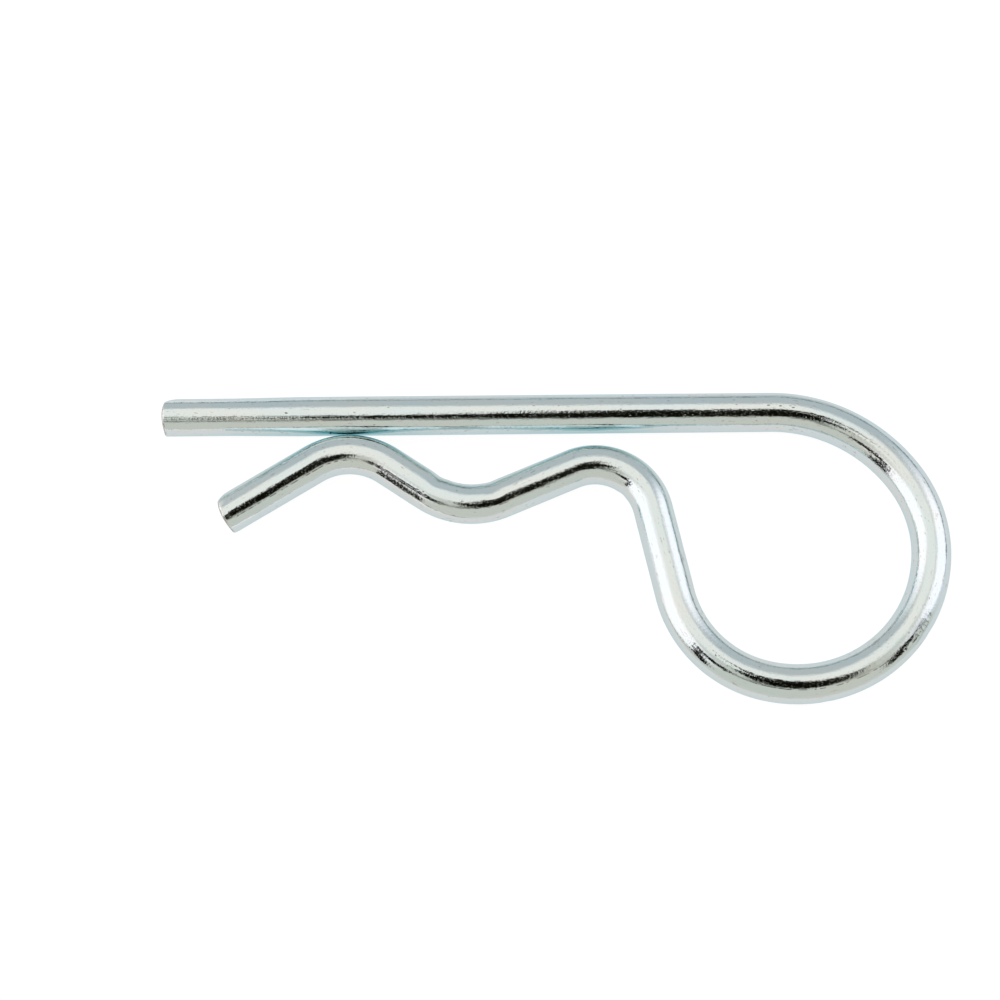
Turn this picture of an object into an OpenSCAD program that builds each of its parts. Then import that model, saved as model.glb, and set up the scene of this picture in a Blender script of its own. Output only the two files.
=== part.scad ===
// R clip: a round spring wire bent in one plane, with a straight leg that goes through a
// cross-drilled shaft and a sprung arm whose cradle closes round the outside of that shaft.
// It lies flat. The leg runs along X with its tip towards -X, and the loop is at +X.
// The origin is the middle of the clip's footprint, on the surface it lies on.
// Every bend radius is to the axis of the wire, and every turn is in degrees.

/* [Wire] */
// Diameter of the wire
wire_d = 4; // [3:0.1:5]

/* [Straight leg] */
// Length of the leg, from its tip to the shoulder of the loop
leg_len = 61.5; // [45:0.1:80]
// How much thinner than the wire the leg's end is, so that it finds the cross hole
end_relief = 0.2; // [0.1:0.05:1]
// Length of the leg's end at that smaller diameter
end_len = 7; // [4:0.5:10]
// Length over which the end swells to the full wire
swell_len = 7; // [1:0.5:15]

/* [Loop] */
// Radius of the shoulder, where the leg starts to turn down
shoulder_r = 16.1; // [12:0.1:22]
// Turn of the shoulder
shoulder_turn = 57; // [50:0.5:65]
// Radius of the nose, the far end of the clip
nose_r = 12.8; // [9:0.1:17]
// Turn of the nose
nose_turn = 36; // [30:0.5:42]
// Radius of the belly, the loop's lower side
belly_r = 14; // [11:0.1:17]
// Turn of the belly
belly_turn = 102; // [97:0.5:107]
// Radius of the throat, where the loop turns back up to the arm
throat_r = 11.6; // [8:0.1:15]
// Turn of the throat
throat_turn = 63; // [58:0.5:68]

/* [Spring arm] */
// Radius of the inner hump, at the loop's end of the arm
inner_hump_r = 5.9; // [4:0.1:8]
// Turn of the inner hump
inner_hump_turn = 100.5; // [95:0.5:106]
// Length of the straight that runs down from the inner hump to the cradle
slope_len = 7.7; // [4:0.1:10]
// Radius of the cradle that closes on the shaft
cradle_r = 7.9; // [6:0.1:11]
// Turn of the cradle
cradle_turn = 57; // [50:0.5:62]
// Length of the straight that rises from the cradle to the outer hump
rise_len = 4.8; // [2:0.1:7]
// Radius of the outer hump, which bears on the leg
outer_hump_r = 6.9; // [5:0.1:10]
// Turn of the outer hump
outer_hump_turn = 65.5; // [59:0.5:72]
// Length of the flared straight beyond the outer hump, to its tip
lead_len = 10.8; // [5:0.1:15]

/* [Contact] */
// Gap between the crest of the outer hump and the leg it bears on
touch_gap = 0.05; // [0.02:0.01:0.5]

/* [Cropped ends] */
// Radius of the roll-over, where the shear's blade pressed into the wire before it cut
roll_r = 3.3; // [2.8:0.1:6]
// Length of that roll-over, back from the tip
roll_len = 2; // [1:0.1:2.4]
// Radius of the bulged face that the shear left on the leg's tip
leg_face_r = 5; // [3.5:0.1:12]
// Where that face stands out most, measured from the axis towards the roll-over
leg_crown = -0.25; // [-0.8:0.05:0.8]
// Radius of the bulged face on the arm's tip
arm_face_r = 6.5; // [4:0.1:12]
// Where that face stands out most, measured from the axis towards the roll-over
arm_crown = -0.9; // [-1.2:0.05:0.8]
// How far that face leans back under the wire, in degrees, because the blades met at a slant
arm_lean = 7; // [0:0.5:12]
// Radius of the rim round each face
rim_r = 0.25; // [0.1:0.05:0.6]

/* [Hidden] */
$fn = 96;

wire_r = wire_d / 2;
end_d = wire_d - end_relief;
reach = 4 * wire_d; // longer than any cut has to be
hair = 0.02; // the roll-over's arc peaks this far above the wire, so that it meets it at an angle
joint_r = wire_r + 0.005; // the ball that joins two stretches of wire, just proud of them
joint_gap = 0.05; // how far a bend stops short of the middle of that ball

// A pose on the wire's axis is [x, y, heading]. A left turn is positive.
function run_on(p, len) = [p.x + len * cos(p.z), p.y + len * sin(p.z), p.z];
function turn_on(p, r, turn) =
    let (side = r * sign(turn), to = p.z + turn)
    [p.x + side * (sin(to) - sin(p.z)), p.y + side * (cos(p.z) - cos(to)), to];

// The bends in order along the wire, each as [straight run before it, radius, turn]
function bends(back) = [
    [leg_len, shoulder_r, -shoulder_turn],
    [0, nose_r, -nose_turn],
    [0, belly_r, -belly_turn],
    [0, throat_r, -throat_turn],
    [back, inner_hump_r, inner_hump_turn],
    [slope_len, cradle_r, -cradle_turn],
    [rise_len, outer_hump_r, outer_hump_turn]
];
function pose_before(form, i) =
    i < 0 ? [0, 0, 0]
    : run_on(i == 0 ? [0, 0, 0] : pose_after(form, i - 1), form[i][0]);
function pose_after(form, i) = turn_on(pose_before(form, i), form[i][1], form[i][2]);

// The outer hump's crest is where it runs parallel to the leg, half a turn on from it
hump = 6;
crest_turn = -180 - pose_before(bends(0), hump).z;
function crest(back) = turn_on(pose_before(bends(back), hump), outer_hump_r, crest_turn);

// Radius of the leg at a distance x from its tip, which is narrower where the end swells
function leg_r(x) = wire_r - end_relief / 2 * max(0, min(1, (end_len + swell_len - x) / swell_len));

// The run from the loop back to the arm is the one that brings the crest up to the leg
back_heading = pose_after(bends(0), 3).z;
function back_to(r) = (-r - touch_gap - wire_r - crest(0).y) / sin(back_heading);
back_len = back_to(leg_r(crest(back_to(wire_r)).x));
form = bends(back_len);

// The footprint, from points along the bends
path = [
    for (i = [0:hump])
        for (part = [0:0.02:1])
            turn_on(pose_before(form, i), form[i][1], part * form[i][2])
];
near_x = min(0, run_on(pose_after(form, hump), lead_len).x); // whichever tip reaches further
far_x = max([for (p = path) p.x]) + wire_r;
low_y = min([for (p = path) p.y]) - wire_r;
middle = [(near_x + far_x) / 2, (wire_r + low_y) / 2];

// A straight run of wire along X
module run(len) {
    rotate([0, 90, 0]) cylinder(h = len, r = wire_r);
}

// The ball that joins two stretches of wire at the origin
module joint() {
    rotate([0, 90, 0]) sphere(r = joint_r);
}

// A bend that starts at the origin, heading along X, with the ball that joins it to what comes before
module bend(r, turn) {
    side = sign(turn);
    trim = joint_gap / r * 180 / PI;
    joint();
    translate([0, side * r, 0])
        rotate([0, 0, (turn > 0 ? -90 : 90 + turn) + trim])
            rotate_extrude(angle = abs(turn) - 2 * trim) translate([r, 0]) circle(r = wire_r);
}

// Its children are moved to the end of that bend
module after_bend(r, turn) {
    side = sign(turn);
    translate([0, side * r, 0]) rotate([0, 0, turn]) translate([0, -side * r, 0]) children();
}

// Outline of what the shear took from the end of a wire of diameter d. The wire runs along X from
// the origin, and the blade came in from +Y.
module shear_cut(d, face_r, crown) {
    difference() {
        translate([-reach, -reach]) square([reach + face_r, 2 * reach]);
        translate([face_r, crown]) circle(r = face_r);
    }
    roll_y = d / 2 + hair - roll_r;
    difference() {
        translate([-reach, roll_y]) square([reach + roll_len, reach]);
        translate([roll_len, roll_y]) circle(r = roll_r);
    }
}

// The last stretch of a wire of diameter d, sheared off at the origin and running on along X.
// The cut leans about the top of the wire.
module cropped_end(d, len, face_r, crown, lean = 0) {
    difference() {
        rotate([0, 90, 0])
            rotate_extrude() {
                translate([0, rim_r]) square([d / 2, len - rim_r]);
                square([d / 2 - rim_r, len]);
                translate([d / 2 - rim_r, rim_r]) intersection() {
                    circle(r = rim_r);
                    translate([0, -rim_r]) square(rim_r);
                }
            }
        translate([0, 0, d / 2]) rotate([0, -lean, 0]) translate([0, 0, -d / 2])
            linear_extrude(height = reach, center = true) shear_cut(d, face_r, crown);
    }
}

// The end of the leg that goes through the cross hole first, and the straight behind it
module leg() {
    cropped_end(end_d, end_len, leg_face_r, leg_crown);
    translate([end_len, 0, 0])
        rotate([0, 90, 0]) cylinder(h = swell_len, r1 = end_d / 2, r2 = wire_r);
    translate([end_len + swell_len, 0, 0]) run(leg_len - end_len - swell_len);
}

// The wire from bend i on, starting at the origin and heading along X
module wire_from(i) {
    r = form[i][1];
    turn = form[i][2];
    bend(r, turn);
    after_bend(r, turn) {
        if (i == hump) {
            lead_in();
        } else {
            next_run = form[i + 1][0];
            if (next_run > 0) {
                joint();
                run(next_run);
            }
            translate([next_run, 0, 0]) wire_from(i + 1);
        }
    }
}

// The flared straight that guides the shaft into the mouth
module lead_in() {
    joint();
    translate([lead_len, 0, 0]) rotate([0, 0, 180])
        cropped_end(wire_d, lead_len, arm_face_r, arm_crown, arm_lean);
}

module r_clip() {
    color("lightsteelblue")
        translate([-middle.x, -middle.y, joint_r]) {
            leg();
            translate([leg_len, 0, 0]) wire_from(0);
        }
}

r_clip();
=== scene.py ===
import math

import bpy
import numpy as np
from mathutils import Matrix, Vector


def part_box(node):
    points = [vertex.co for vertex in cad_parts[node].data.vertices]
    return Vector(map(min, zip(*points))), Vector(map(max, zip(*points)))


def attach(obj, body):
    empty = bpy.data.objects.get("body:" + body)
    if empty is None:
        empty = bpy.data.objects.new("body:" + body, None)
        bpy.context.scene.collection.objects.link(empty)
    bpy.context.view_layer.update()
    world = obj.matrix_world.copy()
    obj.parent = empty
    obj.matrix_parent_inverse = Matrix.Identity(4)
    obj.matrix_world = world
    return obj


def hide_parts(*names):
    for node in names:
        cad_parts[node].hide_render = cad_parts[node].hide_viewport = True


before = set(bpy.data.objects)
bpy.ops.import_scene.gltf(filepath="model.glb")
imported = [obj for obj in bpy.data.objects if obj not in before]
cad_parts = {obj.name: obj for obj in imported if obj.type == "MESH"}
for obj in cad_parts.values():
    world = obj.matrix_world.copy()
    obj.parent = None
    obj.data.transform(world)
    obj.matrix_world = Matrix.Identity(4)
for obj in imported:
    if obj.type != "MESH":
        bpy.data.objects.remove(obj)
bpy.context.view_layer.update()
mm = 0.001
clipLow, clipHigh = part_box("r_clip")
wireAxisZ = (clipLow[2] + clipHigh[2]) / 2
print("frame loaded")

bpy.context.scene.view_settings.view_transform = "Standard"


# The camera stands a little off square to the clip.
view = {
    "elevation": 73.9,    # degrees above the floor
    "side": -8.13,        # degrees from straight in front, seen from above
    "distance": 280,      # mm
    "lens": 100.4,
    "sees": (0.01, 20),   # m, from its nearest to its furthest
    "aim": (-5.7, 5.15),  # mm from the middle of the clip
    "roll": -1.19,
}


def addCamera():
    aim = Vector((view["aim"][0] * mm, view["aim"][1] * mm, wireAxisZ))
    side, up, roll = (math.radians(view[name]) for name in ("side", "elevation", "roll"))
    towards = Vector((math.sin(side) * math.cos(up), -math.cos(side) * math.cos(up), math.sin(up)))
    data = bpy.data.cameras.new("camera")
    data.lens = view["lens"]
    data.clip_start, data.clip_end = view["sees"]
    camera = bpy.data.objects.new("camera", data)
    bpy.context.collection.objects.link(camera)
    # the picture's right-hand direction is level, apart from the roll
    right = towards.cross(Vector((math.sin(roll), -math.cos(roll), 0)))
    right.normalize()
    over = towards.cross(right)
    turned = Matrix((right, over, towards)).transposed().to_4x4()
    camera.matrix_world = Matrix.Translation(aim + towards * view["distance"] * mm) @ turned
    bpy.context.scene.camera = camera


addCamera()
print("camera placed")


def newMaterial(name):
    material = bpy.data.materials.new(name)
    material.use_nodes = True
    material.node_tree.nodes.clear()
    return material, material.node_tree


def addNode(tree, kind, **settings):
    node = tree.nodes.new(kind)
    for key, value in settings.items():
        setattr(node, key, value)
    return node


def feed(tree, socket, value):
    if isinstance(value, bpy.types.NodeSocket):
        tree.links.new(value, socket)
    else:
        socket.default_value = value


def calc(tree, operation, *values):
    node = addNode(tree, "ShaderNodeMath", operation=operation)
    for i, value in enumerate(values):
        feed(tree, node.inputs[i], value)
    return node.outputs[0]


def ramp(tree, value, low, high, atLow=0.0, atHigh=1.0):
    # a smooth step, which also runs down when high is under low
    node = addNode(tree, "ShaderNodeMapRange", interpolation_type="SMOOTHSTEP")
    for i, v in enumerate((value, low, high, atLow, atHigh)):
        feed(tree, node.inputs[i], v)
    return node.outputs[0]


def blendColour(tree, amount, first, second):
    node = addNode(tree, "ShaderNodeMix", data_type="RGBA")
    feed(tree, node.inputs[0], amount)
    for socket, value in ((node.inputs[6], first), (node.inputs[7], second)):
        feed(tree, socket, value if isinstance(value, bpy.types.NodeSocket) else (*value, 1.0))
    return node.outputs[2]


def smooth(value, low, high):
    # a smooth step from 0 at low to 1 at high
    t = np.clip((value - low) / (high - low), 0, 1)
    return t * t * (3 - 2 * t)


def ringQuads(rings, around):
    # the quads between rings of points that follow one another
    j = np.arange(around)
    k = (j + 1) % around
    at = around * np.arange(rings - 1)[:, None]
    return np.stack([at + j, at + k, at + around + k, at + around + j], -1).reshape(-1, 4)


def addShell(name, verts, faces, colour, material, inPicture):
    # a part of the studio, with its glow painted on its points
    mesh = bpy.data.meshes.new(name)
    mesh.from_pydata(verts.tolist(), [], faces)
    paint = mesh.attributes.new("glow", "FLOAT_COLOR", "POINT")
    paint.data.foreach_set("color", np.column_stack([colour, np.ones(len(colour))]).ravel())
    mesh.materials.append(material)
    shell = bpy.data.objects.new(name, mesh)
    bpy.context.collection.objects.link(shell)
    shell.visible_camera = inPicture


def glowOf(tree):
    return addNode(tree, "ShaderNodeAttribute", attribute_name="glow").outputs["Color"]


# The tent is a dome round the clip. Its panels are laid out on a map of the dome, in degrees
# from straight up, with +X to the right and +Y up: middle, half size, turn, soft edge, colour.
tent = {
    "radius": 0.5,       # m
    "step": 1.5,         # degrees between its rings
    "cloth": (0.71, 0.67, 0.60),
    "panels": [
        ((20, 92), (67, 69), 28, 10, (0.575, 0.585, 0.595)),
        ((-74, 47), (34, 36), 41, 22, (0.93, 0.91, 0.93)),
        ((73, 19), (34, 36), -92, 12, (0.80, 0.80, 0.85)),
        ((-4, 13.5), (24, 26), -16, 14, (1.05, 0.97, 0.91)),
        ((-60, 0), (33, 45), 6, 20, (1.38, 1.24, 1.24)),
        ((56, 11), (26, 25), 32, 16, (1.34, 1.22, 1.24)),
        # the camera, its stand and the arms of the stand
        ((12, -33), (24, 7), 15, 7, (0.39, 0.36, 0.30)),
        ((-2, -18), (5, 7), 0, 5, (0.16, 0.155, 0.125)),
        ((2, -35), (9, 6), 0, 6, (0.20, 0.195, 0.17)),
        ((10, -21), (15, 14.5), -44, 3, (0.004, 0.003, 0.001)),
        ((13, -12), (9.5, 10.5), 31, 3, (0.004, 0.003, 0.001)),
        ((7, -2), (4.5, 7), 0, 3, (0.02, 0.017, 0.012)),
        ((-30, -33), (12, 8), -27, 2, (0.004, 0.002, 0.002)),
        ((-58, -53.5), (14, 7), 49, 3, (0.006, 0.004, 0.004)),
        ((-49, -38), (8, 5), 40, 2, (0.004, 0.002, 0.002)),
        ((-62, -48), (9, 5), 10, 3, (0.03, 0.02, 0.02)),
        ((-17, -39), (13, 1.4), 0, 2, (0.16, 0.15, 0.13)),
        ((54, -29), (20, 7), -58, 3, (0.012, 0.007, 0.007)),
        ((63, -17), (21, 2.0), -27, 4, (0.14, 0.14, 0.15)),
    ],
    "corners": 3,        # how square the panels' corners are, where 2 is an ellipse
    # the dark bottom edge of its far half: where it starts, how softly, how far round, and its colour
    "hem": {"from": 84, "soft": 1, "round": (-10, 20), "colour": (0.27, 0.31, 0.32)},
}


def clothColour(right, up):
    colour = np.tile(np.array(tent["cloth"]), (len(right), 1))
    power = tent["corners"]
    for (x, y), (halfX, halfY), turn, soft, paint in tent["panels"]:
        c, s = math.cos(math.radians(turn)), math.sin(math.radians(turn))
        along, across = (right - x) * c + (up - y) * s, (up - y) * c - (right - x) * s
        reach = (np.abs(along / halfX) ** power + np.abs(across / halfY) ** power) ** (1 / power)
        edge = soft / min(halfX, halfY) / 2
        amount = 1 - smooth(reach, 1 - edge, 1 + edge)
        colour += amount[:, None] * (np.array(paint) - colour)
    return colour


def tentColour(right, up):
    # the cloth with its dark hem
    hem = tent["hem"]
    colour = clothColour(right, up)
    share = smooth(np.hypot(right, up), hem["from"] - hem["soft"], hem["from"] + hem["soft"])
    share *= smooth(up, *hem["round"])
    return colour + share[:, None] * (np.array(hem["colour"]) - colour)


def addTent():
    rings, around = round(90 / tent["step"]) + 1, round(360 / tent["step"])
    fall = np.repeat(np.arange(rings) * tent["step"], around)
    turn = np.radians(np.tile(np.arange(around) * tent["step"], rings))
    colour = tentColour(fall * np.cos(turn), fall * np.sin(turn))
    level, high = np.sin(np.radians(fall)), np.cos(np.radians(fall))
    verts = np.stack([level * np.cos(turn), level * np.sin(turn), high], 1) * tent["radius"]
    material, tree = newMaterial("tentCloth")
    glow = addNode(tree, "ShaderNodeEmission")
    feed(tree, glow.inputs[0], glowOf(tree))
    feed(tree, addNode(tree, "ShaderNodeOutputMaterial").inputs[0], glow.outputs[0])
    addShell("lightTent", verts, ringQuads(rings, around).tolist(), colour, material, inPicture=False)


# The floor shows the tent's lower edge to the metal, except close to the clip, where it is pale.
floorLook = {
    "step": 3,                          # mm between its rings near the clip
    "reach": 75,                        # mm that those rings go
    "beyond": (100, 200, 500, 3000),    # mm, the rings further out
    "around": 180,
    "paint": 0.16,      # how much of the tent's light it gives back
    "toCamera": 0.92,   # its own glow, so that it reads as white
    "toMetal": (0.74, 0.69, 0.68),
    "far": 0.86,        # how much of the colour of the tent's lower edge it shows further out
    "close": (11, 17),  # mm from the wire's axis
}


def floorMaterial():
    material, tree = newMaterial("whiteFloor")
    rays = addNode(tree, "ShaderNodeLightPath")
    matt = addNode(tree, "ShaderNodeBsdfDiffuse")
    matt.inputs["Color"].default_value = (floorLook["paint"],) * 3 + (1.0,)
    seen = addNode(tree, "ShaderNodeEmission")
    feed(tree, seen.inputs[1], calc(tree, "MULTIPLY", rays.outputs["Is Camera Ray"], floorLook["toCamera"]))
    inMetal = addNode(tree, "ShaderNodeEmission")
    feed(tree, inMetal.inputs[0], glowOf(tree))
    mirrored = calc(tree, "MAXIMUM", rays.outputs["Is Glossy Ray"], rays.outputs["Is Transmission Ray"])
    feed(tree, inMetal.inputs[1], mirrored)
    glow = addNode(tree, "ShaderNodeAddShader")
    feed(tree, glow.inputs[0], seen.outputs[0])
    feed(tree, glow.inputs[1], inMetal.outputs[0])
    both = addNode(tree, "ShaderNodeAddShader")
    feed(tree, both.inputs[0], matt.outputs[0])
    feed(tree, both.inputs[1], glow.outputs[0])
    feed(tree, addNode(tree, "ShaderNodeOutputMaterial").inputs[0], both.outputs[0])
    return material


def addFloor(axis):
    # axis holds places on the wire's axis, in mm
    radii = np.append(np.arange(floorLook["step"], floorLook["reach"] + 1, floorLook["step"]),
                      floorLook["beyond"])
    rings, n = len(radii), floorLook["around"]
    far = np.append(np.repeat(radii, n), 0)
    turn = np.append(np.tile(np.arange(n) / n * 2 * math.pi, rings), 0)
    verts = np.stack([far * np.cos(turn), far * np.sin(turn), 0 * far], 1)
    apart = np.array([np.hypot(*(axis - v[:2]).T).min() for v in verts])
    colour = clothColour(90 * np.cos(turn), 90 * np.sin(turn)) * floorLook["far"]
    pale = 1 - smooth(apart, *floorLook["close"])
    colour += pale[:, None] * (np.array(floorLook["toMetal"]) - colour)
    middle = rings * n
    faces = [(middle, j, (j + 1) % n) for j in range(n)]
    faces += ringQuads(rings, n)[:, [0, 3, 2, 1]].tolist()    # facing up
    addShell("floor", verts * mm, faces, colour, floorMaterial(), inPicture=True)


def addWorld():
    world = bpy.data.worlds.new("studio")
    world.use_nodes = True
    bpy.context.scene.world = world
    back = world.node_tree.nodes["Background"]
    back.inputs[0].default_value = (1, 1, 1, 1)
    back.inputs[1].default_value = 1.0


addTent()
addWorld()
print("light tent ready")


# The wire, in mm and degrees. Each bend is the straight run before it, its radius and its turn.
clip = {
    "wire": 4.0,
    "bends": [
        (61.5, 16.1, -57.0),   # shoulder
        (0, 12.8, -36.0),      # nose
        (0, 14.0, -102.0),     # belly
        (0, 11.6, -63.0),      # throat
        (None, 5.9, 100.5),    # inner hump, after the run that brings the outer hump up to the leg
        (7.7, 7.9, -57.0),     # cradle
        (4.8, 6.9, 65.5),      # outer hump
    ],
    "leadIn": 10.8,
    "touchGap": 0.05,      # between the outer hump and the leg
    "endRelief": 0.2,      # how much thinner the leg's end is
    "endLength": 7.0,
    "swellLength": 7.0,
    "skin": 0.005,         # how far the shown wire stays inside the frame's
    "around": 88,          # points round it
    "ringStep": 0.19,      # mm between its rings
    "tipRings": (0, 0.02, 0.05, 0.09, 0.14, 0.2, 0.26),   # mm from a tip, over the rim
    "nearTip": (0.36, 3.0, 0.1),                          # from, to and step of the next ones
}


def turnOn(x, y, heading, radius, turn):
    to = heading + turn
    side = math.copysign(radius, turn)
    x += side * (math.sin(to) - math.sin(heading))
    y += side * (math.cos(heading) - math.cos(to))
    return x, y, to


def layStretches(backRun):
    # every stretch as start x, y, heading, length and curvature
    x = y = heading = 0.0
    stretches = []
    for run, radius, turn in clip["bends"]:
        run = backRun if run is None else run
        turn = math.radians(turn)
        if run:
            stretches.append((x, y, heading, run, 0.0))
            x, y = x + run * math.cos(heading), y + run * math.sin(heading)
        stretches.append((x, y, heading, radius * abs(turn), math.copysign(1 / radius, turn)))
        x, y, heading = turnOn(x, y, heading, radius, turn)
    stretches.append((x, y, heading, clip["leadIn"], 0.0))
    return stretches


def layWire():
    # the run back from the loop is as long as it takes for the outer hump to meet the leg
    x, y, heading, length, bend = layStretches(0.0)[-2]
    crest = turnOn(x, y, heading, 1 / bend, -math.pi - heading)
    arm = [run for run, radius, turn in clip["bends"]].index(None)
    backHeading = sum(math.radians(turn) for run, radius, turn in clip["bends"][:arm])
    backRun = (-clip["wire"] - clip["touchGap"] - crest[1]) / math.sin(backHeading)
    return np.array(layStretches(backRun))


stretches = layWire()
starts = np.concatenate([[0], np.cumsum(stretches[:, 3])])
wireLength = starts[-1]


def axisAt(s):
    # places and headings on the wire's axis at the lengths s from the leg's tip
    i = np.clip(np.searchsorted(starts, s, side="right") - 1, 0, len(stretches) - 1)
    x, y, heading, length, bend = stretches[i].T
    on = s - starts[i]
    to = heading + bend * on
    straight = bend == 0
    safe = np.where(straight, 1.0, bend)
    px = np.where(straight, x + on * np.cos(heading), x + (np.sin(to) - np.sin(heading)) / safe)
    py = np.where(straight, y + on * np.sin(heading), y + (np.cos(heading) - np.cos(to)) / safe)
    return px, py, to


print("wire", round(float(wireLength), 2), "mm long")


# The sheared ends. On one side of each the blade pressed the wire in before it cut. A crown is where
# the bulged face stands out most, and a lean is in degrees.
ends = {
    "rollRadius": 3.3,
    "rollLength": 2.0,
    "rim": 0.25,
    "softness": 0.12,    # mm over which the roll-over fades into the round wire
    "fade": 3.0,         # mm over which the rings straighten up behind a cut face
    "faceRings": (0.86, 0.7, 0.5, 0.3, 0.12),
    "leg": {"faceRadius": 5.0, "crown": -0.25, "lean": 0, "side": 1},
    "arm": {"faceRadius": 6.5, "crown": -0.9, "lean": 7, "side": -1},
}

# Painted reflection and shade: the wire's colour turns a darker teal where two stretches of the wire face
# each other closely, standing in for the light and shade that bounce between them.
paintedBounceTint = {
    "reach": (0.0, 8.0),    # mm between them
    "apart": 25,            # mm along the wire that make it another stretch
    "step": 0.5,            # mm between the places looked at
    "squareness": 6,        # how much it keeps to the side that faces the other stretch
    "colour": (0.42, 0.70, 0.74),
    "most": 0.88,           # of that colour
}

# Marks that the bending tools left, as (mm from the leg's tip, degrees round the wire),
# (half length, half width), depth. A corner has straight sides, a dent is round.
dents = {
    "corners": [
        ((157.9, 137), (1.1, 2.2), 0.12),
        ((151.3, 124), (1.1, 2.2), 0.11),
        ((135.9, 12), (0.9, 1.7), 0.12),
    ],
    "rounds": [
        ((93.1, 12), (0.9, 0.9), 0.035),
        ((104.5, -14), (0.6, 0.8), 0.03),
        ((92.3, 55), (0.50, 0.26), 0.035),
        ((93.2, 53), (0.50, 0.28), 0.060),
        ((94.2, 56), (0.60, 0.28), 0.055),
        ((95.4, 50), (0.60, 0.26), 0.035),
        ((171.2, 80), (1.1, 0.6), 0.008),
    ],
    "cornerTop": (0.9, 0.1),       # how much of a corner's peak is left, and how softly it is cut off
    "tipTaper": (0.9, 0.055),      # mm along and mm deep, on the arm
    # slow unevenness: mm deep, mm long, most waves round the wire, how many, and their spread in length
    "waves": {"depth": 0.0045, "length": 6.0, "turns": 2, "count": 9, "pace": (0.6, 1.8)},
    "seed": 5,
}


def softMin(a, b, width):
    h = np.clip(0.5 + 0.5 * (b - a) / width, 0, 1)
    return b * (1 - h) + a * h - width * h * (1 - h)


def pressIn(s, turn):
    # how far the surface lies inside the plain wire
    depth = np.zeros_like(s)
    radius = clip["wire"] / 2
    for kind in ("corners", "rounds"):
        for (at, place), (halfLength, halfWidth), deep in dents[kind]:
            gap = (turn - math.radians(place) + math.pi) % (2 * math.pi) - math.pi
            along, beside = np.abs(s - at) / halfLength, np.abs(gap) * radius / halfWidth
            if kind == "corners":
                rise = softMin(np.clip(1 - along, 0, 1), *dents["cornerTop"])
                rise *= np.clip(1 - beside ** 2, 0, 1) ** 2
            else:
                rise = np.clip(1 - along ** 2 - beside ** 2, 0, 1) ** 2
            depth += deep * rise
    long, deep = dents["tipTaper"]
    depth += deep * np.clip(1 - (wireLength - s) / long, 0, 1) ** 2
    dice = np.random.default_rng(dents["seed"])
    waves = dents["waves"]
    share = waves["depth"] / math.sqrt(waves["count"])
    for i in range(waves["count"]):
        phase, angle = dice.uniform(0, 2 * math.pi, 2)
        turns = dice.integers(0, waves["turns"] + 1)
        pace = dice.uniform(*waves["pace"]) * 2 * math.pi / waves["length"]
        depth += share * (1 + np.sin(pace * s + phase) * np.cos(turns * turn + angle)) / 2
    return depth


def cutFace(v, up, end):
    # how far behind the tip the cut face lies
    bulge = end["faceRadius"] - np.sqrt(end["faceRadius"] ** 2 - (v - end["crown"]) ** 2)
    return bulge + (clip["wire"] / 2 - up) * math.tan(math.radians(end["lean"]))


def faceAt(across, up, tip):
    # where along the wire that tip's cut face lies
    back = cutFace(across * ends[tip]["side"], up, ends[tip])
    return back if tip == "leg" else wireLength - back


def shapeEnd(back, across, up, radius, end):
    # back is the distance from the tip; across and up are places in the section
    v = across * end["side"]
    along = np.clip(ends["rollLength"] - back, 0, ends["rollLength"])
    top = radius - ends["rollRadius"] + np.sqrt(ends["rollRadius"] ** 2 - along ** 2)
    v = np.where(back < ends["rollLength"], softMin(v, top, ends["softness"]), v)
    fade = np.clip(1 - back / ends["fade"], 0, 1)
    return back + cutFace(v, up, end) * fade, v * end["side"]


def ringPlaces():
    tip = np.append(clip["tipRings"], np.arange(*clip["nearTip"]))
    end = clip["nearTip"][1]
    count = round((wireLength - 2 * end) / clip["ringStep"])
    middle = np.linspace(end, wireLength - end, count + 1)[:-1]
    return np.concatenate([tip, middle, wireLength - tip[::-1]])


def shapeWire():
    # every point as if the wire were straight: along it, across it and up, with its distance from
    # the rim, which is less than nothing on the cut faces
    radius, n = clip["wire"] / 2 - clip["skin"], clip["around"]
    s, turn = np.meshgrid(ringPlaces(), np.arange(n) / n * 2 * math.pi, indexing="ij")
    swell = np.clip((clip["endLength"] + clip["swellLength"] - s) / clip["swellLength"], 0, 1)
    tipBack = np.minimum(s, wireLength - s)
    lost = np.clip(ends["rim"] - tipBack, 0, ends["rim"])
    rounded = ends["rim"] - np.sqrt(ends["rim"] ** 2 - lost ** 2)
    r = radius - clip["endRelief"] / 2 * swell - rounded - pressIn(s, turn)
    across, up = r * np.cos(turn), r * np.sin(turn)
    onLeg = s < wireLength / 2
    tipRadius = np.where(onLeg, radius - clip["endRelief"] / 2, radius)
    legBack, legAcross = shapeEnd(s, across, up, tipRadius, ends["leg"])
    armBack, armAcross = shapeEnd(wireLength - s, across, up, tipRadius, ends["arm"])
    s = np.where(onLeg, legBack, wireLength - armBack)
    across = np.where(onLeg, legAcross, armAcross)

    parts, rim = [(s.ravel(), across.ravel(), up.ravel())], [tipBack.ravel()]
    for tip, ring in (("leg", 0), ("arm", -1)):
        for share in ends["faceRings"]:
            v, u = across[ring] * share, up[ring] * share
            parts.append((faceAt(v, u, tip), v, u))
            rim.append(np.full(n, (share - 1) * radius))
    for tip in ("leg", "arm"):
        middle = np.zeros(1)
        parts.append((faceAt(middle, middle, tip), middle, middle))
        rim.append(np.array([-radius]))
    return np.stack([np.concatenate(part) for part in zip(*parts)], 1), np.concatenate(rim)


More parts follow.
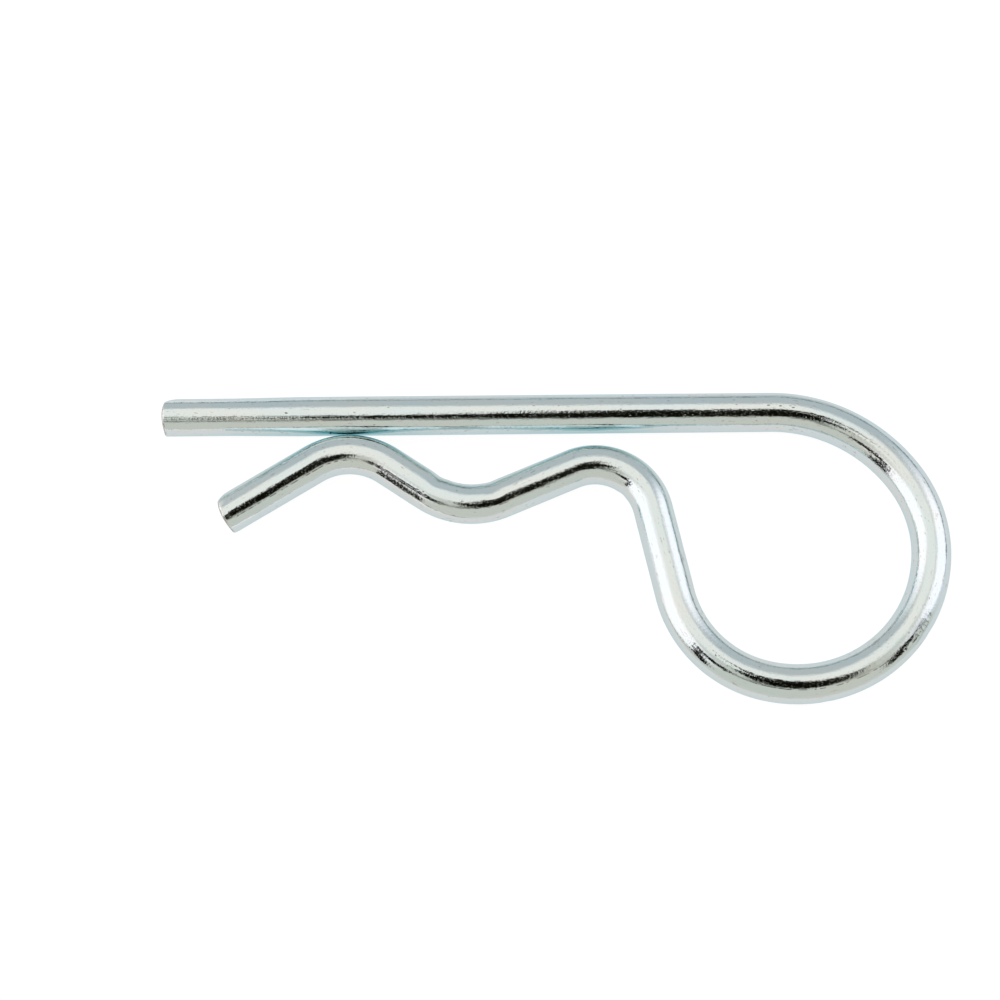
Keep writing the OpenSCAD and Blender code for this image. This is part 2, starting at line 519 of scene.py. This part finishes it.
def joinPoints():
    # the skin, then the rings of each cut face and the fan in its middle
    rings, n, steps = len(ringPlaces()), clip["around"], len(ends["faceRings"])
    quads, fans = ringQuads(rings, n).tolist(), []
    j = np.arange(n)
    k = (j + 1) % n
    first = rings * n
    for tip, edge in enumerate((0, (rings - 1) * n)):
        chain = [edge] + [first + (tip * steps + step) * n for step in range(steps)]
        middle = first + 2 * steps * n + tip
        for outer, inner in zip(chain[:-1], chain[1:]):
            quad = np.stack([outer + j, inner + j, inner + k, outer + k], 1)
            quads += (quad if tip == 0 else quad[:, ::-1]).tolist()
        fan = np.stack([chain[-1] + j, np.full(n, middle), chain[-1] + k], 1)
        fans += (fan if tip == 0 else fan[:, ::-1]).tolist()
    return quads + fans


def bendWire(straight):
    # the same points where they lie on the bent wire
    x, y, heading = axisAt(np.clip(straight[:, 0], 0, wireLength))
    across, up = straight[:, 1], straight[:, 2]
    return np.stack([x - np.sin(heading) * across, y + np.cos(heading) * across, up], 1)


def paintedBounceShareOf(verts, straight):
    # how closely and how squarely each place faces another stretch of the wire, from 0 to 1, which is how
    # much of the painted reflection and shade it gets
    axisS = np.arange(0, wireLength, paintedBounceTint["step"])
    x, y, heading = axisAt(axisS)
    axis = np.stack([x, y, 0 * x], 1)
    ownX, ownY, heading = axisAt(np.clip(straight[:, 0], 0, wireLength))
    outward = verts - np.stack([ownX, ownY, 0 * ownX], 1)
    outward /= np.maximum(np.linalg.norm(outward, axis=1), 1e-6)[:, None]
    paintedBounceShare = np.zeros(len(verts))
    batch = 4000    # places at a time, to spare memory
    for first in range(0, len(verts), batch):
        part = slice(first, first + batch)
        to = axis[None] - verts[part, None]
        gap = np.linalg.norm(to, axis=2)
        square = np.einsum("ijk,ik->ij", to, outward[part]) / gap
        other = np.abs(axisS - straight[part, None, 0]) > paintedBounceTint["apart"]
        near = 1 - smooth(gap - clip["wire"] / 2, *paintedBounceTint["reach"])
        facing = np.clip(square, 0, 1) ** paintedBounceTint["squareness"]
        paintedBounceShare[part] = np.max(near * facing * other, axis=1)
    return paintedBounceShare


# The flat chart for baking, in mm of wire.
chart = {
    "strips": 4,
    "between": 0.3,        # from strip to strip
    "corner": (0.15, 0.1),  # where the first strip starts
    "beside": 0.6,         # from the strips to the cut faces, and from those to the edge
    "roundFace": 0.3,      # round each cut face
}


def layFlat(mesh, rings):
    # the wire's skin as strips side by side, with the two cut faces beside them
    n, strips = clip["around"], chart["strips"]
    span = clip["wire"] * math.pi + chart["between"]
    long = wireLength / strips
    page = long + clip["wire"] + 2 * chart["beside"]
    place = np.empty(len(mesh.vertices) * 3)
    mesh.attributes["straightPlace"].data.foreach_get("vector", place)
    place = place.reshape(-1, 3) / mm
    corner = np.empty(len(mesh.loops), dtype=int)
    mesh.loops.foreach_get("vertex_index", corner)
    first = np.empty(len(mesh.polygons), dtype=int)
    count = np.empty(len(mesh.polygons), dtype=int)
    mesh.polygons.foreach_get("loop_start", first)
    mesh.polygons.foreach_get("loop_total", count)
    owner = np.repeat(np.arange(len(first)), count)
    ring, spoke = corner // n, corner % n
    lowRing = np.minimum.reduceat(ring, first)[owner]

    # a quad that closes the ring has its far corners at the full turn
    reachesEnd = np.maximum.reduceat(spoke, first)[owner] == n - 1
    wraps = reachesEnd & (np.minimum.reduceat(spoke, first)[owner] == 0)
    turn = np.where(wraps & (spoke == 0), n, spoke) / n * clip["wire"] * math.pi
    s = place[corner, 0]
    ringS = ringPlaces()[np.clip(lowRing, 0, rings - 1)]
    strip = np.clip(np.floor(ringS / long), 0, strips - 1)
    u = s - strip * long + chart["corner"][0]
    v = strip * span + turn + chart["corner"][1]

    onFace = np.maximum.reduceat(corner, first)[owner] >= rings * n
    tip = np.where(s > wireLength / 2, 1, 0)
    half = clip["wire"] / 2 + chart["roundFace"]
    u = np.where(onFace, page - half + place[corner, 1], u)
    v = np.where(onFace, half + tip * 3 * half + place[corner, 2], v)
    layer = mesh.uv_layers.new(name="OFBake")
    layer.data.foreach_set("uv", (np.stack([u, v], 1) / page).astype(np.float32).ravel())


def addAttribute(mesh, name, kind, values):
    layer = mesh.attributes.new(name, kind, "POINT")
    key = "vector" if kind == "FLOAT_VECTOR" else "value"
    layer.data.foreach_set(key, values.astype(np.float32).ravel())


def makeClip():
    straight, rim = shapeWire()
    verts = bendWire(straight)
    # the same footprint as the frame: the middle of the wire's own box goes to the frame's middle
    low, high = verts.min(0), verts.max(0)
    cadLow, cadHigh = Vector(clipLow), Vector(clipHigh)
    shift = np.array((cadLow + cadHigh) / 2) - (low + high) / 2 * mm
    print("footprint", np.round(high - low, 3), "mm, frame", [round(v / mm, 3) for v in cadHigh - cadLow])
    mesh = bpy.data.meshes.new("rClipWire")
    mesh.from_pydata((verts * mm + shift).tolist(), [], joinPoints())
    mesh.polygons.foreach_set("use_smooth", [True] * len(mesh.polygons))
    addAttribute(mesh, "straightPlace", "FLOAT_VECTOR", straight * mm)
    # where the painted reflection and shade between facing stretches goes
    addAttribute(mesh, "paintedBounceShare", "FLOAT", paintedBounceShareOf(verts, straight))
    addAttribute(mesh, "fromRim", "FLOAT", rim * mm)
    mesh.update()
    layFlat(mesh, len(ringPlaces()))
    piece = bpy.data.objects.new("rClipWire", mesh)
    bpy.context.collection.objects.link(piece)
    return piece, shift


# The zinc plate, with lengths in mm. A texture has its length along the wire, its length across it,
# and then its depth, or the two values of the noise between which it sets in.
zinc = {
    "cool": (0.69, 0.81, 0.835),
    "warm": (0.725, 0.81, 0.81),
    "stain": (0.42, 0.34, 0.27),
    # painted shade in the nicks and scratches, darker than the bare steel
    "grooveShade": (0.13, 0.115, 0.10),
    "bare": (0.36, 0.31, 0.26),
    "edgeTint": (0.80, 0.95, 1.0),
    "patches": (9.0, 1.8),              # where it is warmer and a little rougher
    "patchTint": (0.35, 0.65),          # values of the patches from cool to warm
    "patchRough": (0.3, 0.7),           # and from the lower roughness to the higher
    "roughness": (0.06, 0.10),
    "dullness": 0.22,                   # how much rougher stains and bare steel are
    "drawLines": (1.4, 0.26, 0.010),
    "hairs": (0.5, 0.16, 0.002),
    "grain": (0.22, 0.27, 0.009),
    "swells": (7.0, 0.9, 0.014),
    "pits": (0.95, 0.55, 0.010),
    "pitSize": 0.20,                    # as a share of a pit's cell
    "pitCells": (0.62, 0.70),           # only the cells above this have a pit
    "flecks": (0.75, 0.22, 0.62, 0.72),
    "fleckFields": (5.0, 1.3, 0.42, 0.62),
    "haze": (0.20, 0.16, 0.60, 0.68),
    "hazeRoughness": 0.13,
    "rimWear": 0.22,                    # from a tip's rim
    "rimFlakes": (0.3, 0.3),
    # how dark each mark gets; for the nicks and scratches that is painted shade
    "darkness": {"fleck": 0.55, "pit": 0.6, "grooveShade": 0.8, "rim": 0.7},
}

# Marks: small cuts in the plate, and long scratches from the drawing die. Besides their relief, they are
# coloured near black, which is painted shade in them.
marks = {
    # (mm from the leg's tip, degrees round the wire), (half length, half width), depth
    "nicks": [
        ((12.5, 97), (0.22, 0.10), 0.020),
        ((16.9, 165), (0.12, 0.30), 0.015),
        ((61.1, 86), (0.24, 0.08), 0.008),
        ((62.3, 88), (0.22, 0.08), 0.008),
        ((63.6, 90), (0.22, 0.07), 0.008),
        ((94.9, 52), (0.42, 0.16), 0.030),
        ((96.1, 55), (0.26, 0.22), 0.030),
        ((155.3, 0), (0.12, 0.12), 0.025),
    ],
    # (from, to) in mm, degrees round the wire, half width, depth
    "scratches": [
        ((-1, 18), 106, 0.05, 0.005),
        ((-1, 14), 113, 0.05, 0.004),
        ((63, 73), 101, 0.06, 0.005),
        ((96, 114), 62, 0.06, 0.005),
        ((137, 141), 66, 0.06, 0.008),
        ((136.4, 137.1), 50, 0.14, 0.008),
        ((150, 166), 61, 0.06, 0.006),
        ((167, 181), 58, 0.07, 0.008),
    ],
    "nickFloor": 0.4,                  # how much of a nick is its floor
    "wander": (3.0, 30.0, 0.05),       # how a scratch strays: mm along, mm across, radians
    "gaps": (0.5, 0.6, 0.42, 0.54),    # where it skips
    "runOut": 0.8,                     # mm over which it starts and ends
}


def stretched(tree, place, along, across, shift):
    # shift moves a texture along, so that no two of them line up
    node = addNode(tree, "ShaderNodeMapping")
    feed(tree, node.inputs["Vector"], place)
    node.inputs["Scale"].default_value = (1 / (along * mm), 1 / (across * mm), 1 / (across * mm))
    node.inputs["Location"].default_value = (shift, shift, shift)
    return node.outputs[0]


def noiseAt(tree, place, along, across, detail=1.5, shift=0.0):
    noise = addNode(tree, "ShaderNodeTexNoise")
    feed(tree, noise.inputs["Vector"], stretched(tree, place, along, across, shift))
    noise.inputs["Scale"].default_value = 1.0
    noise.inputs["Detail"].default_value = detail
    return noise.outputs[0]


def cellsAt(tree, place, along, across, shift):
    cells = addNode(tree, "ShaderNodeTexVoronoi")
    feed(tree, cells.inputs["Vector"], stretched(tree, place, along, across, shift))
    cells.inputs["Scale"].default_value = 1.0
    return cells.outputs["Distance"], cells.outputs["Color"]


def pitsAt(tree, place):
    along, across, depth = zinc["pits"]
    gap, cellColour = cellsAt(tree, place, along, across, shift=11.3)
    inside = ramp(tree, gap, zinc["pitSize"], zinc["pitSize"] / 10)
    return calc(tree, "MULTIPLY", inside, ramp(tree, cellColour, *zinc["pitCells"]))


def nickAt(tree, place, nick):
    # 1 in the middle of a nick and 0 past its edge
    (at, turn), (halfLength, halfWidth), depth = nick
    radius, angle = clip["wire"] / 2, math.radians(turn)
    middle = (at * mm, radius * math.cos(angle) * mm, radius * math.sin(angle) * mm)
    away = addNode(tree, "ShaderNodeVectorMath", operation="SUBTRACT")
    feed(tree, away.inputs[0], place)
    away.inputs[1].default_value = middle
    scaled = addNode(tree, "ShaderNodeVectorMath", operation="MULTIPLY")
    feed(tree, scaled.inputs[0], away.outputs[0])
    scaled.inputs[1].default_value = (1 / (halfLength * mm), 1 / (halfWidth * mm), 1 / (halfWidth * mm))
    reach = addNode(tree, "ShaderNodeVectorMath", operation="LENGTH")
    feed(tree, reach.inputs[0], scaled.outputs[0])
    return ramp(tree, reach.outputs["Value"], 1.0, marks["nickFloor"])


def scratchesAt(tree, place):
    # each scratch as a share from 0 to 1, with its depth
    parts = addNode(tree, "ShaderNodeSeparateXYZ")
    feed(tree, parts.inputs[0], place)
    along, across, stray = marks["wander"]
    turn = calc(tree, "ARCTAN2", parts.outputs[2], parts.outputs[1])
    swing = noiseAt(tree, place, along, across, detail=2.0, shift=2.3)
    turn = calc(tree, "MULTIPLY_ADD", swing, stray, turn)
    along, across, low, high = marks["gaps"]
    broken = ramp(tree, noiseAt(tree, place, along, across, detail=2.0, shift=6.1), low, high)
    for (start, end), angle, halfWidth, depth in marks["scratches"]:
        gap = calc(tree, "ABSOLUTE", calc(tree, "SUBTRACT", turn, math.radians(angle) + stray / 2))
        line = ramp(tree, gap, halfWidth * 2 / clip["wire"], 0.0)
        for first, last in ((start, start + marks["runOut"]), (end, end - marks["runOut"])):
            line = calc(tree, "MULTIPLY", line, ramp(tree, parts.outputs[0], first * mm, last * mm))
        yield calc(tree, "MULTIPLY", line, broken), depth


def layRelief(tree, place, pit):
    # heights in metres, one texture on another; also gives how deep in a groove each place is, which sets
    # how much painted shade it gets
    height = 0.0
    for i, name in enumerate(("drawLines", "hairs", "grain", "swells")):
        along, across, depth = zinc[name]
        texture = noiseAt(tree, place, along, across, shift=3.7 * i)
        height = calc(tree, "MULTIPLY_ADD", texture, depth * mm, height)
    height = calc(tree, "MULTIPLY_ADD", pit, -zinc["pits"][2] * mm, height)
    markShadeShare = 0.0
    nicks = [(nickAt(tree, place, nick), nick[2]) for nick in marks["nicks"]]
    for mark, depth in nicks + list(scratchesAt(tree, place)):
        height = calc(tree, "MULTIPLY_ADD", mark, -depth * mm, height)
        markShadeShare = calc(tree, "MAXIMUM", mark, markShadeShare)
    relief = addNode(tree, "ShaderNodeBump")
    relief.inputs["Strength"].default_value = 1.0
    relief.inputs["Distance"].default_value = 1.0
    feed(tree, relief.inputs["Height"], height)
    return relief.outputs[0], markShadeShare


def stainsAt(tree, place, pit):
    # stains lie in the pits, and in flecks that run along the wire
    along, across, low, high = zinc["flecks"]
    fleck = ramp(tree, noiseAt(tree, place, along, across, detail=3.0, shift=5.1), low, high)
    along, across, low, high = zinc["fleckFields"]
    field = ramp(tree, noiseAt(tree, place, along, across, shift=8.9), low, high)
    fleck = calc(tree, "MULTIPLY", calc(tree, "MULTIPLY", fleck, field), zinc["darkness"]["fleck"])
    return calc(tree, "MAXIMUM", fleck, calc(tree, "MULTIPLY", pit, zinc["darkness"]["pit"]))


def wornAt(tree, place):
    # the plate is gone from the cut faces, up to a ragged line at the rim
    fromRim = addNode(tree, "ShaderNodeAttribute", attribute_name="fromRim").outputs["Fac"]
    flakes = noiseAt(tree, place, *zinc["rimFlakes"], detail=3.0)
    wear = zinc["rimWear"] * mm
    return ramp(tree, calc(tree, "MULTIPLY_ADD", flakes, -2 * wear, fromRim), 0.1 * wear, -0.9 * wear)


def zincMaterial():
    material, tree = newMaterial("zincPlate")
    place = addNode(tree, "ShaderNodeAttribute", attribute_name="straightPlace").outputs["Vector"]
    patch = noiseAt(tree, place, *zinc["patches"], detail=2.0)
    pit = pitsAt(tree, place)
    relief, markShadeShare = layRelief(tree, place, pit)
    stained = stainsAt(tree, place, pit)
    worn = wornAt(tree, place)

    dark = zinc["darkness"]
    colour = blendColour(tree, ramp(tree, patch, *zinc["patchTint"]), zinc["cool"], zinc["warm"])
    # painted reflection and shade where two stretches of the wire face each other
    paintedBounceShare = addNode(tree, "ShaderNodeAttribute", attribute_name="paintedBounceShare").outputs["Fac"]
    paintedBounceShare = calc(tree, "MULTIPLY", paintedBounceShare, paintedBounceTint["most"])
    colour = blendColour(tree, paintedBounceShare, colour, paintedBounceTint["colour"])
    colour = blendColour(tree, stained, colour, zinc["stain"])
    # painted shade in the nicks and scratches
    colour = blendColour(tree, calc(tree, "MULTIPLY", markShadeShare, dark["grooveShade"]), colour, zinc["grooveShade"])
    colour = blendColour(tree, calc(tree, "MULTIPLY", worn, dark["rim"]), colour, zinc["bare"])

    rough = ramp(tree, patch, *zinc["patchRough"], *zinc["roughness"])
    along, across, low, high = zinc["haze"]
    haze = ramp(tree, noiseAt(tree, place, along, across, detail=0.0, shift=1.9), low, high)
    rough = calc(tree, "MULTIPLY_ADD", haze, zinc["hazeRoughness"], rough)
    rough = calc(tree, "MULTIPLY_ADD", calc(tree, "MAXIMUM", stained, worn), zinc["dullness"], rough)
    shader = addNode(tree, "ShaderNodeBsdfPrincipled")
    shader.inputs["Metallic"].default_value = 1.0
    shader.inputs["Specular Tint"].default_value = (*zinc["edgeTint"], 1)
    feed(tree, shader.inputs["Base Color"], colour)
    feed(tree, shader.inputs["Roughness"], rough)
    feed(tree, shader.inputs["Normal"], relief)
    feed(tree, addNode(tree, "ShaderNodeOutputMaterial").inputs[0], shader.outputs[0])
    return material


clipPiece, clipShift = makeClip()
clipPiece.data.materials.append(zincMaterial())
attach(clipPiece, "root")
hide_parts("r_clip")
print("clip made", len(clipPiece.data.polygons), "faces")

wireAxis = np.stack(axisAt(np.arange(0, wireLength, 1.0))[:2], 1)    # a place on each mm of it
addFloor(wireAxis + clipShift[:2] / mm)
print("floor ready")
